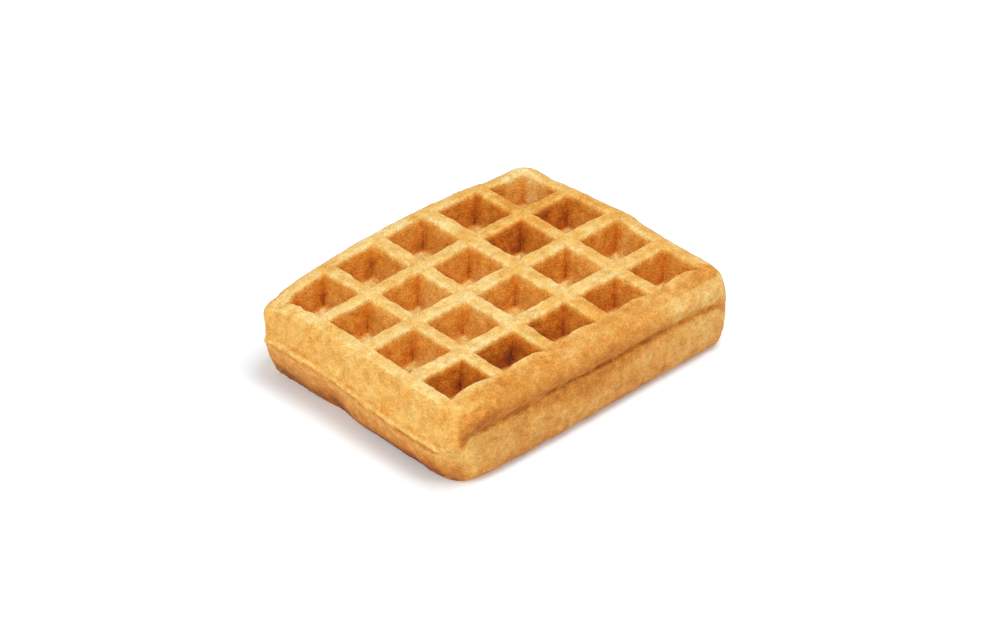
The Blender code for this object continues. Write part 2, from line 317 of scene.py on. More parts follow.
def lumps(points, size, seed, cells=32, shift=7.3):
    """Smooth random lumps from -1 to 1: a random value at each corner of a lattice, eased between.

    The lattice's cells have that size. It repeats after so many cells, and shift moves it by a few of them.
    """
    table = np.random.default_rng(seed).uniform(-1.0, 1.0, (cells, cells, cells))
    place = points / size + shift
    cell = np.floor(place).astype(int)
    part = place - cell
    part = part * part * (3.0 - 2.0 * part)
    total = np.zeros(len(points))
    for corner in np.ndindex(2, 2, 2):
        share = np.prod(np.where(np.array(corner) == 1, part, 1.0 - part), axis=1)
        x, y, z = ((cell + corner) % cells).T
        total += share * table[x, y, z]
    return total


def layered_lumps(points, layers):
    """The sum of lumps of several sizes, each given by its height, size and seed."""
    return sum(height * lumps(points, size, seed) for height, size, seed in layers)


def rise(values, start, end):
    """0 up to start, 1 from end on, and straight between."""
    return np.clip((values - start) / (end - start), 0, 1)


def soft_step(values, start, end):
    """0 up to start, 1 from end on, and an even curve between."""
    share = rise(values, start, end)
    return share * share * (3.0 - 2.0 * share)


def hump(values, middle, spread):
    """A bell curve of height 1."""
    return np.exp(-(((values - middle) / spread) ** 2))


def spot(x, y, height, middle_x, spread_x, middle_y, spread_y):
    """A round spot: a bell curve along X times one along Y."""
    return height * hump(x, middle_x, spread_x) * hump(y, middle_y, spread_y)


def pocket_drop(inside):
    """Depth at a distance inside the mouth: a steep straight wall, rounded at the lip and at the floor."""
    start = -LIP_DROP / WALL_SLOPE
    end = start + POCKET_DEPTH / WALL_SLOPE
    at_lip = LIP_SOFTNESS * np.logaddexp(0.0, (inside - start) / LIP_SOFTNESS)
    at_floor = FLOOR_SOFTNESS * np.logaddexp(0.0, (inside - end) / FLOOR_SOFTNESS)
    return WALL_SLOPE * (at_lip - at_floor)


def rib_places(ribs):
    """Middle and half width of each rib, in metres."""
    count = len(ribs) - 1
    shift, width = np.array(ribs).T * MM
    return (np.arange(count + 1) - count / 2) * PITCH + shift, width / 2


def inside_mouth(places, ribs):
    """Distance of each place inside the nearest pocket's mouth edge, below 0 on a rib."""
    middles, halves = rib_places(ribs)
    return np.min(np.abs(places[:, None] - middles[None, :]) - halves[None, :], axis=1)


def grid_lines(ribs):
    """Lines across a row of pockets, spaced evenly over the pressed surface as it rises and falls.

    The length along the surface is added up in fine steps, with BEND_LENGTH for each radian that it turns.
    """
    middles, halves = rib_places(ribs)
    ends = middles[0] - halves[0] + LIP_RUN, middles[-1] + halves[-1] - LIP_RUN
    fine = np.linspace(*ends, SURFACE_POINTS)
    height = pocket_drop(inside_mouth(fine, ribs))
    slope = np.gradient(height, fine)
    turning = np.abs(np.gradient(np.arctan(slope)))
    step = np.hypot(np.diff(fine), np.diff(height)) + BEND_LENGTH * turning[1:]
    length = np.concatenate([[0.0], np.cumsum(step)])
    count = LINES_PER_POCKET * (len(ribs) - 1) + 1
    return np.interp(np.linspace(0.0, length[-1], count), length, fine)


def round_corners(x, y, low, high):
    """Turns the square corners of the grid round, and gives each point's outward direction at the edge.

    The square of side CORNER_RADIUS in each corner is mapped onto a quarter of a disc.
    """
    over_x = np.clip(x - high[0] + CORNER_RADIUS, 0, None) + np.clip(x - low[0] - CORNER_RADIUS, None, 0)
    over_y = np.clip(y - high[1] + CORNER_RADIUS, 0, None) + np.clip(y - low[1] - CORNER_RADIUS, None, 0)
    disc_x = over_x * np.sqrt(1.0 - 0.5 * (over_y / CORNER_RADIUS) ** 2)
    disc_y = over_y * np.sqrt(1.0 - 0.5 * (over_x / CORNER_RADIUS) ** 2)
    return x - over_x + disc_x, y - over_y + disc_y, disc_x / CORNER_RADIUS, disc_y / CORNER_RADIUS


def top_bows(across, along, height):
    """How far the pressed grid's outer rows move along X and Y: powers of their share of the way out."""
    to_north = rise(along, *NORTH_ROW) ** 2
    to_east = rise(across, *END_ROW) ** 2
    to_west = rise(-across, *END_ROW) ** 2
    inside_south = rise(-along, *SLANTED_ROW) ** 2 * rise(along, *SLANT_STOP)
    bulge = EAST_BULGE * hump(along, BULGE_PLACE, BULGE_SPREAD)
    east = (EAST_BOW + bulge - EAST_FALL * rise(along, *EAST_FALL_RUN)) * to_east
    west = WEST_FLARE * rise(along, 0, 1) ** 3 * (FLARE_AT_FOOT + (1.0 - FLARE_AT_FOOT) * height) * to_west
    north = (NORTH_BOW - NORTH_FALL * across**2) * to_north
    south = SOUTH_SLANT * across * inside_south
    return east - west, north - south


def shoulder_drop(across, along):
    """How far the top face's edge is rolled down, from the outermost pockets' lips outwards."""
    drop = NORTH_CORNER_DROP * rise(across**2, 0, 1) ** 2 * rise(along, *NORTH_ROW) ** 2
    drop += SOUTH_SHOULDER * rise(-along, *SOUTH_SHOULDER_RUN) ** SOUTH_SHOULDER_CURVE
    drop += OTHER_SHOULDER * rise(along, *NORTH_SHOULDER_RUN) ** OTHER_SHOULDER_CURVE
    drop += OTHER_SHOULDER * rise(np.abs(across), *END_SHOULDER_RUN) ** OTHER_SHOULDER_CURVE
    drop -= NORTH_EAST_HOOD * hump(across, 1.0, HOOD_SPREAD_X) * hump(along, 1.0, HOOD_SPREAD_Y)
    drop += NORTH_WEST_STEP * soft_step(-across, *STEP_RUN_X) * soft_step(along, *STEP_RUN_Y)
    return drop


def bake_warp(x, y, z):
    """The bows, slants, rolled-off shoulders, wavy foot and rolled-in near corner of the baked dough."""
    across, along, height = x / HALF_LENGTH, y / HALF_WIDTH, z / THICKNESS
    bow_x, bow_y = top_bows(across, along, height)
    foot = rise(1.0 - height / FOOT_HEIGHT, 0, 1)
    west_wave = sum(out * hump(y, place, spread) for place, spread, out in WEST_WAVES)
    west_wave *= foot * rise(-across, *WEST_WAVE_RUN)
    south_wave = sum(out * hump(x, place, spread) for place, spread, out in SOUTH_WAVES)
    south_wave *= foot * rise(-along, *SOUTH_WAVE_RUN)
    diagonal = (-x - y) / np.sqrt(2.0)
    rolled = np.clip((diagonal - ROLL_START) / ROLL_RUN, 0, ROLL_MOST) ** 2
    roll = ROLL_IN * rolled * (1.0 - height) / np.sqrt(2.0)
    new_z = z - shoulder_drop(across, along) * height**2
    return x + bow_x - west_wave + roll, y + bow_y - south_wave + roll, new_z


def curve_through(points, places):
    """Points on the smooth curve through a list of knots, at places counted in knots.

    Each span is a cubic that leaves along the chord between its neighbours.
    """
    points = np.array(points, float)
    ends = points[0] - (points[1] - points[0]) * (1, 0), points[-1] - (points[-2] - points[-1]) * (1, 0)
    knots = np.vstack([ends[0], points, ends[1]])
    span = np.minimum(places.astype(int), len(points) - 2)
    t = (places - span)[:, None]
    a, b, c, d = (knots[span + n] for n in range(4))
    return 0.5 * (2 * b + (c - a) * t + (2 * a - 5 * b + 4 * c - d) * t**2 + (3 * b - a - 3 * c + d) * t**3)


def rim_walk(count_x, count_y):
    """Indices of the grid's edge points, once round, anticlockwise seen from above."""
    to_east, to_west = np.arange(count_x - 1), np.arange(count_x - 1, 0, -1)
    to_north, to_south = np.arange(count_y - 1), np.arange(count_y - 1, 0, -1)
    i = np.concatenate([to_east, np.full(count_y - 1, count_x - 1), to_west, np.zeros(count_y - 1, int)])
    j = np.concatenate([np.zeros(count_x - 1, int), to_north, np.full(count_x - 1, count_y - 1), to_south])
    return i * count_y + j


def side_weights(out_x, out_y):
    """How much each side and each corner shapes the wall at a point of the rim, from its outward direction.

    A corner's weight is the square of sin twice the direction's angle, and the two sides share the rest by
    the squares of the direction's parts. They come as west, east, south, north, then the corners south-west,
    south-east, north-east and north-west.
    """
    west, east, south, north = out_x < 0, out_x > 0, out_y < 0, out_y > 0
    corner = (2 * out_x * out_y) ** 2
    sides = [out_x**2 * west, out_x**2 * east, out_y**2 * south, out_y**2 * north]
    quarters = [west & south, east & south, east & north, west & north]
    return [side * (1 - corner) for side in sides] + [corner * quarter for quarter in quarters]


def wall_rings(rim_x, rim_y, out_x, out_y, half_x, half_y):
    """The outer wall: each profile is carried round the rim, and they blend into each other by side_weights.

    The seam's lift and wander move a ring by 4 h (1 - h) of themselves, h being its height as a share.
    """
    weights = side_weights(out_x, out_y)
    west, south = weights[0], weights[2]
    profiles = [curve_through(wall, RING_PLACES) for wall in WALLS]
    blend = sum(weight[None, :, None] * side[:, None, :] for weight, side in zip(weights, profiles))
    reach, level = blend[..., 0], blend[..., 1]
    crease = CREASE_MIDDLE * hump(rim_x, CREASE_PLACE, CREASE_SPREAD) + CREASE_ALONG
    reach = reach - south * crease * hump(RING_PLACES[:, None], CREASE_KNOT, CREASE_REACH)
    lift = south * (SEAM_LIFT_SOUTH[0] + SEAM_LIFT_SOUTH[1] * rim_x / half_x)
    lift += west * (SEAM_LIFT_WEST[0] + SEAM_LIFT_WEST[1] * rim_y / half_y)
    rim = np.stack([rim_x, rim_y, np.zeros_like(rim_x)], axis=-1)
    wander = layered_lumps(rim, SEAM_WANDER)
    height = level * THICKNESS + 4 * level * (1 - level) * (lift * MM + wander)
    return np.stack([rim_x + out_x * reach * MM, rim_y + out_y * reach * MM, height], axis=-1), weights


def triangle_normals(points, triangles):
    """Outward direction at each point: the sum of its triangles' cross products, made one long."""
    a, b, c = (points[triangles[:, n]] for n in range(3))
    face = np.cross(b - a, c - a)
    total = np.zeros_like(points)
    for corner in triangles.T:
        for axis in range(3):
            total[:, axis] += np.bincount(corner, face[:, axis], len(points))
    return total / np.linalg.norm(total, axis=1, keepdims=True)


def face_triangles(numbers, drop):
    """Two triangles for each cell of a grid of point numbers, split along the steeper diagonal.

    That is the line that runs down a pocket's inner corner.
    """
    a, b, c, d = numbers[:-1, :-1], numbers[1:, :-1], numbers[1:, 1:], numbers[:-1, 1:]
    along_bd = np.abs(drop[:-1, :-1] - drop[1:, 1:]) <= np.abs(drop[1:, :-1] - drop[:-1, 1:])
    first = np.where(along_bd[..., None], np.stack([a, b, d], -1), np.stack([a, b, c], -1))
    second = np.where(along_bd[..., None], np.stack([b, c, d], -1), np.stack([a, c, d], -1))
    return np.concatenate([first.reshape(-1, 3), second.reshape(-1, 3)])


def strip(upper, lower):
    """Triangles between two closed loops of as many point numbers, the upper one first."""
    next_upper, next_lower = np.roll(upper, -1), np.roll(lower, -1)
    return np.concatenate([
        np.stack([upper, lower, next_lower], -1),
        np.stack([upper, next_lower, next_upper], -1),
    ])


def halving_strip(upper, lower):
    """Triangles between a closed loop and one below it with half as many points."""
    first, middle, last = upper[::2], upper[1::2], np.roll(upper, -2)[::2]
    next_lower = np.roll(lower, -1)
    return np.concatenate([
        np.stack([first, lower, middle], -1),
        np.stack([middle, lower, next_lower], -1),
        np.stack([middle, next_lower, last], -1),
    ])


def mouth_wander(places, seed, shape):
    """How far a mouth's edges wander, as the sum of lumps of the sizes in MOUTH_WANDER."""
    layers = [(out, size, seed + n) for n, (out, size) in enumerate(MOUTH_WANDER)]
    return layered_lumps(places, layers).reshape(shape)


def pressed_face(lines_x, lines_y, seed):
    """One pressed face: pocket_drop of how far each point is inside both mouth edges, softly the nearer.

    The south rim swells into each of its pockets by a parabola across the mouth, and its crest there is
    lifted by the same parabola times a bell curve across the crest.
    """
    flat_x, flat_y = np.meshgrid(lines_x, lines_y, indexing="ij")
    shape = flat_x.shape
    places = np.stack([flat_x.ravel(), flat_y.ravel(), np.zeros(flat_x.size)], axis=-1)
    inside_x = np.broadcast_to(inside_mouth(lines_x, RIBS_ACROSS_X)[:, None], shape)
    inside_y = np.broadcast_to(inside_mouth(lines_y, RIBS_ACROSS_Y)[None, :], shape)
    middles, halves = rib_places(RIBS_ACROSS_Y)
    swell = 1.0 - (1.0 - rise(inside_x, 0.0, PITCH / 2 - halves[1])) ** 2
    past_rim = flat_y - middles[0] - halves[0] - RIM_PILLOW * swell
    inside_y = np.minimum(inside_y, past_rim)
    lift = PILLOW_LIFT * swell * hump(past_rim, PILLOW_CREST, PILLOW_SPREAD)
    wandering = soft_step(np.maximum(inside_x, inside_y), *CROSSING_FADE)
    wandering *= 1.0 - WALL_CALM * soft_step(np.minimum(inside_x, inside_y), *WALL_FADE)
    inside_x = inside_x + mouth_wander(places, seed, shape) * wandering
    inside_y = inside_y + mouth_wander(places, seed + len(MOUTH_WANDER), shape) * wandering
    inside = -CORNER_SOFTNESS * np.logaddexp(-inside_x / CORNER_SOFTNESS, -inside_y / CORNER_SOFTNESS)
    inside += FOLD_CUT * hump(inside_x - inside_y, 0.0, FOLD_WIDTH) * hump(inside, 0.0, FOLD_LENGTH)
    return SimpleNamespace(
        x=flat_x, y=flat_y, drop=pocket_drop(inside), inside_x=inside_x, inside_y=inside_y, lift=lift
    )


def crust_shape():
    """The whole crust: a fine top, an underside on every other line, and the rings between their rims.

    It gives the points and triangles, and for each point the drop and the distances inside the mouth of a
    pressed face, and the share of each side and the knot of the outer wall.
    """
    lines_x, lines_y = grid_lines(RIBS_ACROSS_X), grid_lines(RIBS_ACROSS_Y)
    low, high = (lines_x[0], lines_y[0]), (lines_x[-1], lines_y[-1])
    top = pressed_face(lines_x, lines_y, TOP_SEED)
    underside = pressed_face(lines_x[::2], lines_y[::2], UNDERSIDE_SEED)
    top.height, underside.height = THICKNESS - top.drop + top.lift, underside.drop
    count = 0
    for face in (top, underside):
        x, y, face.out_x, face.out_y = round_corners(face.x, face.y, low, high)
        face.points = np.stack([x, y, face.height], axis=-1)
        face.numbers = count + np.arange(x.size).reshape(x.shape)
        count += x.size

    edge = rim_walk(*top.numbers.shape)
    rim = [grid.ravel()[edge] for grid in (top.points[..., 0], top.points[..., 1], top.out_x, top.out_y)]
    rings, weights = wall_rings(*rim, high[0], high[1])
    around, ring_count = len(edge), len(RING_PLACES) - 2
    loops = [edge] + [count + n * around + np.arange(around) for n in range(ring_count)]
    foot = underside.numbers.ravel()[rim_walk(*underside.numbers.shape)]
    triangles = [face_triangles(top.numbers, top.drop)]
    triangles.append(face_triangles(underside.numbers, underside.drop)[:, ::-1])
    triangles += [strip(upper, lower) for upper, lower in zip(loops, loops[1:])]
    triangles.append(halving_strip(loops[-1], foot))

    wall_count, off_the_wall = ring_count * around, np.zeros(count)
    parts = (top.points, underside.points, rings[1:-1])
    shape = SimpleNamespace(points=np.concatenate([part.reshape(-1, 3) for part in parts]))
    shape.triangles = np.concatenate(triangles)
    for name, on_the_wall in (("drop", 0.0), ("inside_x", -1.0), ("inside_y", -1.0)):
        values = [getattr(face, name).ravel() for face in (top, underside)]
        setattr(shape, name, np.concatenate([*values, np.full(wall_count, on_the_wall)]))
    shape.sides = [np.concatenate([off_the_wall, np.tile(weight, ring_count)]) for weight in weights]
    knots_of_faces = np.zeros(top.x.size), np.full(underside.x.size, LAST_KNOT)
    shape.knot = np.concatenate([*knots_of_faces, np.repeat(RING_PLACES[1:-1], around)])
    shape.on_wall = np.concatenate([off_the_wall, np.ones(wall_count)])
    shape.on_top = np.concatenate([np.ones(top.x.size), np.zeros(underside.x.size + wall_count)])
    return shape


def crust_relief(shape, points):
    """Height of the crust's lumps, crumbs and flakes: sums of lumps, each kind within its own band."""
    depth = shape.drop / POCKET_DEPTH
    floor = soft_step(depth, *CRUMBLY_FLOOR)
    rib_top = (1.0 - shape.on_wall) * (1.0 - soft_step(depth, *RIB_TOP_END))
    relief = (BROAD_HEIGHT - RIB_TOP_CALM * rib_top) * lumps(points, *BROAD_LUMPS)
    relief += SMALL_HEIGHT * lumps(points, *SMALL_LUMPS) + FINE_HEIGHT * lumps(points, *FINE_LUMPS)
    crumbs = np.abs(lumps(points, *LARGE_CRUMBS)) + SMALL_CRUMB_SHARE * np.abs(lumps(points, *SMALL_CRUMBS))
    relief += floor * (CRUMB_HEIGHT * crumbs - CRUMB_SINK)
    relief += shape.on_wall * hump(shape.knot, SEAM_KNOT, SEAM_SPREAD) * layered_lumps(points, SEAM_FLAKES)
    west = shape.sides[0]
    broken = west * soft_step(lumps(points, *BREAKS), *BREAK_RUN)
    for height, knot, spread in (SECOND_RIDGE, SECOND_GROOVE):
        relief += broken * height * hump(shape.knot, knot, spread)
    return relief


def crust_places(shape, points, out):
    """What each point is part of, as shares from 0 to 1 of bands of the pressed faces and the outer wall."""
    depth = shape.drop / POCKET_DEPTH
    at = SimpleNamespace(x=points[:, 0], y=points[:, 1], depth=depth, knot=shape.knot, outside=shape.on_wall)
    at.pressed = 1.0 - shape.on_wall
    at.underside = at.pressed * (1.0 - shape.on_top)
    at.wall = at.pressed * soft_step(depth, *POCKET_WALL)
    at.rib = at.pressed * (1.0 - at.wall)
    at.lower_wall = at.wall * soft_step(depth, *LOWER_POCKET_WALL)
    at.floor = at.pressed * soft_step(depth, *POCKET_FLOOR)
    at.mouth = np.minimum(shape.inside_x, shape.inside_y)
    at.from_fold = np.abs(shape.inside_x - shape.inside_y)
    # Which way a surface faces: pocket walls facing west take painted light, and those facing south painted
    # shade low down
    at.wall_to_south = soft_step(-out[:, 1], *FACING)
    at.wall_to_west = soft_step(-out[:, 0], *FACING)
    at.south_rim = at.pressed * shape.on_top * soft_step(-at.y, *SOUTH_RIM_RUN)
    at.south_rim *= soft_step(at.x, *SOUTH_RIM_WEST_END)

    west, east, south, north, south_west, south_east, north_east, north_west = shape.sides
    near = west + south_west + south
    at.turned_south = soft_step(out[:, 0] - out[:, 1], *TURNING_SOUTH)
    at.west, at.south = near * (1 - at.turned_south), near * at.turned_south + south_east
    at.north_west, at.far = north_west, east + north + north_east
    at.low = soft_step(shape.knot, *LOWER_WALL)
    at.foot = soft_step(shape.knot, *FOOT)
    at.lobe = shape.on_wall * at.low * spot(at.x, at.y, *PALE_LOBE)
    # The pale seam line: a painted highlight along the seam's ledge
    seam_line = SEAM_KNOT + SEAM_LINE + SEAM_LINE_SOUTH * (south + south_east)
    at.seam = hump(shape.knot, seam_line, SEAM_LINE_SPREAD) * shape.on_wall

    at.patchy = layered_lumps(points, PATCHES)
    # The relief's hollows, where shade is painted in
    at.hollows = -(lumps(points, *SMALL_LUMPS) + lumps(points, *FINE_LUMPS)) / 2
    return at


def pressed_brown_and_painted_light(at):
    """Brown that all points share, then of the pressed faces: a painted highlight beside the lips, brown lips
    and walls, painted light on walls facing west and painted shade low on those facing south, and painted
    shade down the folds and in the floor's hollows.
    """
    spots = sum(spot(at.x, at.y, *one) for one in BAKING_SPOTS)
    patches = BROWN_AND_PAINTED_LIGHT["patches"] - BROWN_AND_PAINTED_LIGHT["patches less on pocket walls"] * at.wall
    patches = patches - BROWN_AND_PAINTED_LIGHT["patches less outside"] * at.outside
    browned_and_painted_light = BROWN_AND_PAINTED_LIGHT["everywhere"] + at.patchy * patches
    # A painted highlight on the rib just beside each lip
    browned_and_painted_light += at.pressed * BROWN_AND_PAINTED_LIGHT["painted highlight beside the lip"] * hump(at.mouth, *LIP_HIGHLIGHT)
    browned_and_painted_light += at.pressed * BROWN_AND_PAINTED_LIGHT["lip"] * soft_step(at.mouth, *BROWN_LIP_RUN)
    browned_and_painted_light += at.wall * (BROWN_AND_PAINTED_LIGHT["pocket wall"] + spots + BROWN_AND_PAINTED_LIGHT["under the lip"] * hump(at.depth, *UNDER_LIP))
    # Painted shade low on the pocket walls that face south, and painted light on those that face west
    browned_and_painted_light += at.wall_to_south * BROWN_AND_PAINTED_LIGHT["painted shade low on walls facing south"] * at.lower_wall
    browned_and_painted_light += at.wall_to_west * BROWN_AND_PAINTED_LIGHT["painted light on walls facing west"] * at.wall
    browned_and_painted_light += at.wall_to_west * BROWN_AND_PAINTED_LIGHT["painted light low on walls facing west"] * at.lower_wall
    # Painted shade down the fold where two walls meet, narrow and broad, above the floor
    fold = BROWN_AND_PAINTED_LIGHT["painted shade in sharp fold"] * hump(at.from_fold, *SHARP_FOLD_SHADE)
    fold += BROWN_AND_PAINTED_LIGHT["painted shade in soft fold"] * hump(at.from_fold, *SOFT_FOLD_SHADE)
    browned_and_painted_light += at.pressed * fold * soft_step(at.depth, *FOLDED_WALL) * (1 - at.floor)
    browned_and_painted_light += at.rib * SPOTS_ON_RIBS * spots * soft_step(at.x, *SPOTS_ON_RIBS_RUN)
    # A pocket's floor takes its own level, with painted shade in its hollows
    browned_and_painted_light += at.floor * (BROWN_AND_PAINTED_LIGHT["floor"] + BROWN_AND_PAINTED_LIGHT["floor hollows"] * at.hollows - browned_and_painted_light)
    browned_and_painted_light += at.rib * spot(at.x, at.y, *SOUTH_RIB_SPOT)
    browned_and_painted_light += at.south_rim * BROWN_AND_PAINTED_LIGHT["south rim all along"]
    browned_and_painted_light += at.south_rim * BROWN_AND_PAINTED_LIGHT["brownest south rim"] * hump(at.x, *BROWNEST_SOUTH_RIM)
    browned_and_painted_light += at.rib * BROWN_AND_PAINTED_LIGHT["east rim"] * hump(at.x, *EAST_RIM)
    browned_and_painted_light += at.underside * BROWN_AND_PAINTED_LIGHT["underside"]
    return browned_and_painted_light


def west_brown_and_painted_light(at):
    """Brown of the west wall: darker under the seam and most at the foot, with thin lines at the seam, among
    them painted shade in a groove and a painted highlight on the ridge below it.
    """
    browned_and_painted_light = BROWN_AND_PAINTED_LIGHT["west"] + BROWN_AND_PAINTED_LIGHT["west under the rim"] * soft_step(at.knot, *UNDER_RIM)
    browned_and_painted_light += BROWN_AND_PAINTED_LIGHT["west lower wall"] * at.low
    browned_and_painted_light += at.foot * (BROWN_AND_PAINTED_LIGHT["west foot"] + BROWN_AND_PAINTED_LIGHT["west foot's middle"] * hump(at.y, *WEST_FOOT_MIDDLE))
    # Lines at the seam, among them painted shade in the groove and a painted highlight on the second ridge
    lines = sum(height * hump(at.knot, knot, spread) for height, knot, spread in SEAM_LINES)
    return browned_and_painted_light + lines * soft_step(at.patchy, *LINES_SHOW)


def south_brown_and_painted_light(at):
    """Brown of the south wall: painted shade from the shoulder down, which leaves the shoulder pale as a
    painted highlight, and painted shade in the crease, paler below it and towards the east end.
    """
    pale_start = PALE_START + PALE_LOWER * hump(at.x, *PALE_MIDDLE) - PALE_ON_PATCHES * at.patchy
    # Painted shade from the shoulder down, which leaves the shoulder pale as a painted highlight
    browned_and_painted_light = BROWN_AND_PAINTED_LIGHT["south"] + BROWN_AND_PAINTED_LIGHT["painted shade below the south shoulder"] * soft_step(at.knot, *SOUTH_BROW_SHADE)
    browned_and_painted_light += BROWN_AND_PAINTED_LIGHT["south lower wall"] * soft_step(at.knot - pale_start, 0, PALE_RUN)
    # More of that painted shade near the south-west corner
    browned_and_painted_light += BROWN_AND_PAINTED_LIGHT["more painted shade below the south-west shoulder"] * hump(at.x, *SOUTH_WEST_BROW_SHADE) * hump(at.knot, *BROW_SHADE_BAND)
    browned_and_painted_light += BROWN_AND_PAINTED_LIGHT["south foot"] * soft_step(at.knot, *SOUTH_FOOT)
    browned_and_painted_light += BROWN_AND_PAINTED_LIGHT["south's east end"] * soft_step(at.x, *SOUTH_EAST_END) * (1 - EAST_END_CALM * at.low)
    # Painted shade in the crease under the south rim's bulge, deeper in its east half
    crease = BROWN_AND_PAINTED_LIGHT["crease"] + BROWN_AND_PAINTED_LIGHT["painted shade in crease's east half"] * hump(at.x, *CREASE_SHADE_EAST_HALF)
    return browned_and_painted_light + crease * hump(at.knot, *CREASE_SHADE_BAND)


def outer_brown_and_painted_light(at):
    """Brown of the whole outer wall, with the pale seam round it as a painted highlight and the pale lobe at
    the near corner; the west side's paler and the south side's browner colour are partly their own and partly
    painted light.
    """
    # The near walls split by which way they face: the west one paler and the south one browner, partly the
    # crust's own colour and partly painted light for the brighter west side
    browned_and_painted_light = at.west * west_brown_and_painted_light(at) + at.south * south_brown_and_painted_light(at)
    low, foot = BROWN_AND_PAINTED_LIGHT["north-west lower wall"] * at.low, BROWN_AND_PAINTED_LIGHT["north-west foot"] * at.foot
    browned_and_painted_light += at.north_west * (BROWN_AND_PAINTED_LIGHT["north-west"] + low + foot)
    browned_and_painted_light += at.far * (BROWN_AND_PAINTED_LIGHT["far sides"] + BROWN_AND_PAINTED_LIGHT["far sides' lower wall"] * at.low)
    # A painted highlight along the seam's ledge, where the patches let it show
    browned_and_painted_light += BROWN_AND_PAINTED_LIGHT["seam"] * at.seam * soft_step(at.patchy, *SEAM_SHOWS)
    browned_and_painted_light += BROWN_AND_PAINTED_LIGHT["lobe"] * at.lobe
    return browned_and_painted_light


def crust_colour(shape, points, out):
    """How brown, how floury and how tanned each place is, the brown and the tan with painted light and shade
    in them, where 1 is dark brown or all flour or tan.
    """
    at = crust_places(shape, points, out)
    # Painted shade in the relief's hollows, more on the pocket walls and outside
    hollows = BROWN_AND_PAINTED_LIGHT["hollows"] + BROWN_AND_PAINTED_LIGHT["hollows on pocket walls"] * at.wall
    hollows = hollows + BROWN_AND_PAINTED_LIGHT["hollows outside"] * at.outside
    browned_and_painted_light = pressed_brown_and_painted_light(at) + outer_brown_and_painted_light(at) + hollows * at.hollows
    floury = FLOURY["floor"] * at.floor + FLOURY["lobe"] * at.lobe
    floury += FLOURY["patches"] * soft_step(at.patchy, *FLOUR_SHOWS)
    tanned_and_shaded = at.outside * (TAN_AND_PAINTED_SHADE["lower wall"] * at.low + TAN_AND_PAINTED_SHADE["foot"] * at.foot)
    tanned_and_shaded *= 1 - LESS_TANNED["lobe"] * at.lobe
    tanned_and_shaded *= 1 - LESS_TANNED["facing south"] * at.turned_south - LESS_TANNED["far sides"] * at.far
    tanned_and_shaded += TAN_AND_PAINTED_SHADE["upper south wall"] * at.south * (1 - at.low) + TAN_AND_PAINTED_SHADE["south rim"] * at.south_rim
    # Painted shade low on the pocket walls, as a duller tan
    tanned_and_shaded += TAN_AND_PAINTED_SHADE["painted shade low in pockets"] * at.lower_wall * (1 - at.floor)
    return {"browned_and_painted_light": browned_and_painted_light, "floury": floury, "tanned_and_shaded": tanned_and_shaded}


def main_piece():
    """The baked crust: the pressed and puffed shape, its relief pushed out along its outward directions."""
    shape = crust_shape()
    points = np.stack(bake_warp(*shape.points.T), axis=-1)
    points[:, :2] += OUTLINE_SHIFT
    out = triangle_normals(points, shape.triangles)
    looks = crust_colour(shape, points, out)
    points = points + out * crust_relief(shape, points)[:, None]
    points[:, 2] = np.maximum(points[:, 2], 0.0)

    mesh = bpy.data.meshes.new("crust")
    mesh.from_pydata(points.tolist(), [], shape.triangles.tolist())
    mesh.shade_smooth()
    piece = bpy.data.objects.new("crust", mesh)
    bpy.context.scene.collection.objects.link(piece)
    for name, values in looks.items():
        attribute = mesh.attributes.new(name, "FLOAT", "POINT")
        attribute.data.foreach_set("value", values.astype(np.float32))
    return piece


# The batter's colours: gold to dark brown on the upper crust, which also carries painted light and shade,
# duller where it is tanned and where shade is painted low in the pockets, and the flour and the blush that
# lie on it
GOLDEN = (
    (0.0, "#fce09c"), (0.2, "#f4c26c"), (0.4, "#e8a040"),
    (0.6, "#d27c1e"), (0.8, "#a8520c"), (1.0, "#6c2e08"),
)
TAN = ((0.0, "#f0cf98"), (0.25, "#deab68"), (0.5, "#c68942"), (0.75, "#9c5c26"), (1.0, "#6c3410"))
FLOUR = "#debb72"
BLUSH = "#f6ae78"

# Sizes of its patterns, how much the first two brown it from their palest to their darkest, how sharp
# the flour's patches are, and from where to where the blush sets in and how strong it gets
MOTTLE_SIZE, MOTTLE_BROWN, MOTTLE_FLATTENING = 2.8 * MM, 0.30, 1.15
SPECKLE_SIZE, SPECKLE_BROWN = 0.6 * MM, 0.12
FLOUR_SIZE, FLOUR_GAIN, FLOUR_OFFSET = 1.6 * MM, 2.4, -0.8
BLUSH_SIZE, BLUSH_RUN, BLUSH_MOST = 3.1 * MM, (0.42, 0.72), 0.24

# Mottle and speckle together: their range, what their lightest and darkest do to the colour, and the
# height of their relief; and how far light goes into the crumb
GRAIN_RANGE, GRAIN_LIGHTEST, GRAIN_DARKEST = (0.7, 1.3), 1.18, 0.82
GRAIN_HEIGHT = 0.55 * MM
CRUMB_GLOW_DEPTH = 1.2 * MM


def add_node(tree, kind, inputs=None, **settings):
    """Adds a node, sets its settings, then fills its inputs with values or with other nodes' outputs."""
    node = tree.nodes.new(kind)
    for name, value in settings.items():
        setattr(node, name, value)
    for name, value in (inputs or {}).items():
        if isinstance(value, bpy.types.NodeSocket):
            tree.links.new(value, node.inputs[name])
        else:
            node.inputs[name].default_value = value
    return node


def fill_ramp(node, shades):
    """Fills a colour ramp from pairs of a place and a colour, lowest place first."""
    stops = node.color_ramp.elements
    for place, colour in shades[1:-1]:
        stops.new(place)
    for stop, (place, colour) in zip(stops, shades):
        stop.position, stop.color = place, linear(colour)


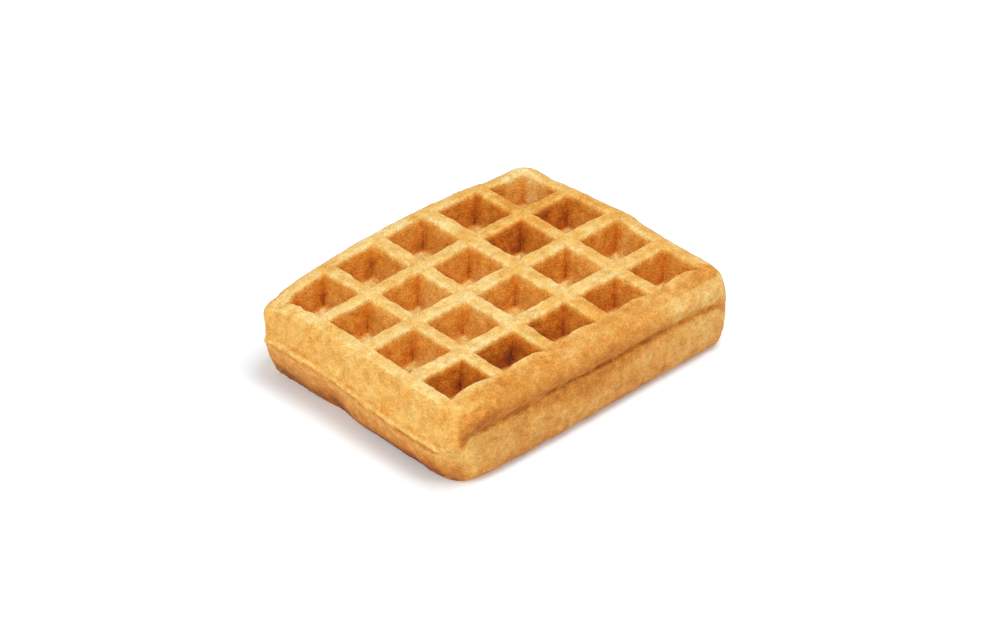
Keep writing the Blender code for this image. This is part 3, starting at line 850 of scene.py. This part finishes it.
def baked_batter():
    """Baked batter, pressed in an iron: a dry crust, pale gold on the ribs, orange-brown down the pockets.

    Its grain is a mottling of 1 to 3 mm patches and a fine speckle, over a low bump of the same sizes.
    """
    material = bpy.data.materials.new("baked_batter")
    material.use_nodes = True
    tree = material.node_tree
    tree.nodes.clear()
    place = add_node(tree, "ShaderNodeTexCoord").outputs["Object"]
    flattened = add_node(tree, "ShaderNodeMapping", {"Vector": place, "Scale": (1.0, 1.0, MOTTLE_FLATTENING)})
    mottle = add_node(tree, "ShaderNodeTexNoise", {
        "Vector": flattened.outputs["Vector"], "Scale": 1 / MOTTLE_SIZE, "Detail": 4.0, "Roughness": 0.68,
    })
    speckle = add_node(tree, "ShaderNodeTexNoise", {
        "Vector": place, "Scale": 1 / SPECKLE_SIZE, "Detail": 1.0, "Roughness": 0.5,
    })
    # The brown and the tan carry painted light and shade as well as the crust's own colour
    browned_and_painted_light, floury, tanned_and_shaded = (
        add_node(tree, "ShaderNodeAttribute", attribute_name=name, attribute_type="GEOMETRY").outputs["Fac"]
        for name in ("browned_and_painted_light", "floury", "tanned_and_shaded")
    )

    coarse = add_node(tree, "ShaderNodeMath", {
        0: mottle.outputs["Fac"], 1: MOTTLE_BROWN, 2: -MOTTLE_BROWN / 2,
    }, operation="MULTIPLY_ADD")
    fine = add_node(tree, "ShaderNodeMath", {
        0: speckle.outputs["Fac"], 1: SPECKLE_BROWN, 2: -SPECKLE_BROWN / 2,
    }, operation="MULTIPLY_ADD")
    grain = add_node(tree, "ShaderNodeMath", {0: coarse.outputs[0], 1: fine.outputs[0]}, operation="ADD")
    total = add_node(tree, "ShaderNodeMath", {0: browned_and_painted_light, 1: grain.outputs[0]}, operation="ADD")
    golden = add_node(tree, "ShaderNodeValToRGB", {"Fac": total.outputs[0]})
    fill_ramp(golden, GOLDEN)
    tan = add_node(tree, "ShaderNodeValToRGB", {"Fac": total.outputs[0]})
    fill_ramp(tan, TAN)

    flour = add_node(tree, "ShaderNodeTexNoise", {"Vector": place, "Scale": 1 / FLOUR_SIZE, "Detail": 2.0})
    dusting = add_node(tree, "ShaderNodeMath", {
        0: flour.outputs["Fac"], 1: FLOUR_GAIN, 2: FLOUR_OFFSET,
    }, operation="MULTIPLY_ADD")
    dusted = add_node(tree, "ShaderNodeMath", {
        0: floury, 1: dusting.outputs[0],
    }, operation="MULTIPLY", use_clamp=True)
    with_flour = add_node(tree, "ShaderNodeMix", {
        "Factor": dusted.outputs[0], "A": golden.outputs["Color"], "B": linear(FLOUR),
    }, data_type="RGBA")
    with_tan = add_node(tree, "ShaderNodeMix", {
        "Factor": tanned_and_shaded, "A": with_flour.outputs["Result"], "B": tan.outputs["Color"],
    }, data_type="RGBA")
    blush = add_node(tree, "ShaderNodeTexNoise", {"Vector": place, "Scale": 1 / BLUSH_SIZE, "Detail": 2.0})
    rosy = add_node(tree, "ShaderNodeMapRange", {
        "Value": blush.outputs["Fac"], "From Min": BLUSH_RUN[0], "From Max": BLUSH_RUN[1],
        "To Min": 0.0, "To Max": BLUSH_MOST,
    })
    with_blush = add_node(tree, "ShaderNodeMix", {
        "Factor": rosy.outputs["Result"], "A": with_tan.outputs["Result"], "B": linear(BLUSH),
    }, data_type="RGBA", blend_type="SOFT_LIGHT")

    relief = add_node(tree, "ShaderNodeMath", {
        0: mottle.outputs["Fac"], 1: speckle.outputs["Fac"],
    }, operation="ADD")
    pores = add_node(tree, "ShaderNodeMapRange", {
        "Value": relief.outputs[0], "From Min": GRAIN_RANGE[0], "From Max": GRAIN_RANGE[1],
        "To Min": GRAIN_LIGHTEST, "To Max": GRAIN_DARKEST,
    })
    pored = add_node(tree, "ShaderNodeVectorMath", {
        0: with_blush.outputs["Result"], 1: pores.outputs["Result"],
    }, operation="MULTIPLY")
    bump = add_node(tree, "ShaderNodeBump", {
        "Strength": 0.9, "Distance": GRAIN_HEIGHT, "Height": relief.outputs[0],
    })
    shader = add_node(tree, "ShaderNodeBsdfPrincipled", {
        "Base Color": pored.outputs["Vector"], "Roughness": 0.7, "Normal": bump.outputs["Normal"],
        "Specular IOR Level": 0.22, "Subsurface Weight": 0.1, "Subsurface Radius": (1.0, 0.45, 0.15),
        "Subsurface Scale": CRUMB_GLOW_DEPTH,
    })
    add_node(tree, "ShaderNodeOutputMaterial", {"Surface": shader.outputs["BSDF"]})
    return material


# The table and the studio round it. Each softbox has a name, a place, a side in metres, its watts and
# its colour
TABLE_SIDE = 6.0
TABLE_COLOUR = "#eef7fe"
TABLE_GLOW = 0.193
WHITE = "#ffffff"
BACKDROP_LIGHT = 0.46
SOFTBOXES = (
    ("low_left", (-1.10, -0.15, 0.40), 0.7, 4.4, "#fffaf2"),
    ("overhead", (0.26, -0.36, 1.48), 0.9, 14.2, WHITE),
)
LIT_PLACE = (0.0, 0.0, 0.015)


def white_table():
    """Matt opal acrylic, lit a little from behind, so that the table is as white as the studio's backdrop."""
    material = bpy.data.materials.new("opal_acrylic")
    material.use_nodes = True
    shader = material.node_tree.nodes["Principled BSDF"]
    shader.inputs["Base Color"].default_value = linear(TABLE_COLOUR)
    shader.inputs["Roughness"].default_value = 0.9
    shader.inputs["Emission Color"].default_value = linear(WHITE)
    shader.inputs["Emission Strength"].default_value = TABLE_GLOW
    return material


def softbox(name, place, size, watts, colour):
    """A square light that faces the middle of the waffle."""
    light = bpy.data.lights.new(name, "AREA")
    light.shape = "SQUARE"
    light.size = size
    light.energy = watts
    light.color = linear(colour)[:3]
    lamp = bpy.data.objects.new(name, light)
    lamp.location = place
    lamp.rotation_euler = (Vector(place) - Vector(LIT_PLACE)).to_track_quat("Z", "Y").to_euler()
    bpy.context.scene.collection.objects.link(lamp)


def studio():
    """The table, the even light of a white backdrop, and the softboxes."""
    scene = bpy.context.scene
    scene.view_settings.view_transform = "Standard"
    bpy.ops.mesh.primitive_plane_add(size=TABLE_SIDE)
    floor = bpy.context.object
    floor.name = "table_top"
    floor.data.materials.append(white_table())
    world = bpy.data.worlds.new("studio")
    world.use_nodes = True
    world.node_tree.nodes["Background"].inputs["Color"].default_value = linear(WHITE)
    world.node_tree.nodes["Background"].inputs["Strength"].default_value = BACKDROP_LIGHT
    scene.world = world
    for one in SOFTBOXES:
        softbox(*one)


# The camera's direction from the waffle, its distance from the top face, its focal length in pixels of
# the picture's width, and how far right and down in the picture the middle of that face lies
VIEW_AZIMUTH = np.radians(43.0)
VIEW_ELEVATION = np.radians(34.75)
VIEW_DISTANCE = 1.390
FOCAL_PIXELS = 4120.0
PICTURE_WIDTH = 1000.0
SENSOR_MM = 36.0
AIM_RIGHT, AIM_DOWN = 8.0, 32.0
FAR_CLIP = 20.0


def camera():
    """Looks at the waffle from its south-west corner, through a long lens."""
    back = np.array([
        -np.sin(VIEW_AZIMUTH) * np.cos(VIEW_ELEVATION),
        -np.cos(VIEW_AZIMUTH) * np.cos(VIEW_ELEVATION),
        np.sin(VIEW_ELEVATION),
    ])
    right = np.array([np.cos(VIEW_AZIMUTH), -np.sin(VIEW_AZIMUTH), 0.0])
    up = np.cross(back, right)
    place = np.array([*OUTLINE_SHIFT, THICKNESS]) + back * VIEW_DISTANCE
    away = back * FOCAL_PIXELS - right * AIM_RIGHT + up * AIM_DOWN
    data = bpy.data.cameras.new("photo_view")
    data.sensor_width = SENSOR_MM
    data.lens = SENSOR_MM * FOCAL_PIXELS / PICTURE_WIDTH
    data.clip_end = FAR_CLIP
    view = bpy.data.objects.new("photo_view", data)
    view.location = place
    view.rotation_euler = Vector(away).to_track_quat("Z", "Y").to_euler()
    bpy.context.scene.collection.objects.link(view)
    bpy.context.scene.camera = view


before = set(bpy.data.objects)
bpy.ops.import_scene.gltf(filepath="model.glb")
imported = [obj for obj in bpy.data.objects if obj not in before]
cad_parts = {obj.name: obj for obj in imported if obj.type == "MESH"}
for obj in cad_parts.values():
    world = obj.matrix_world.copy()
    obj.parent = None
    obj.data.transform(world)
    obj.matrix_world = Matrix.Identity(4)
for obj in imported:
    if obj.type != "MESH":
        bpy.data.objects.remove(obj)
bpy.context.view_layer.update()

crust = main_piece()
crust.data.materials.append(baked_batter())
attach(crust, "root")
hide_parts("waffle")

studio()
camera()
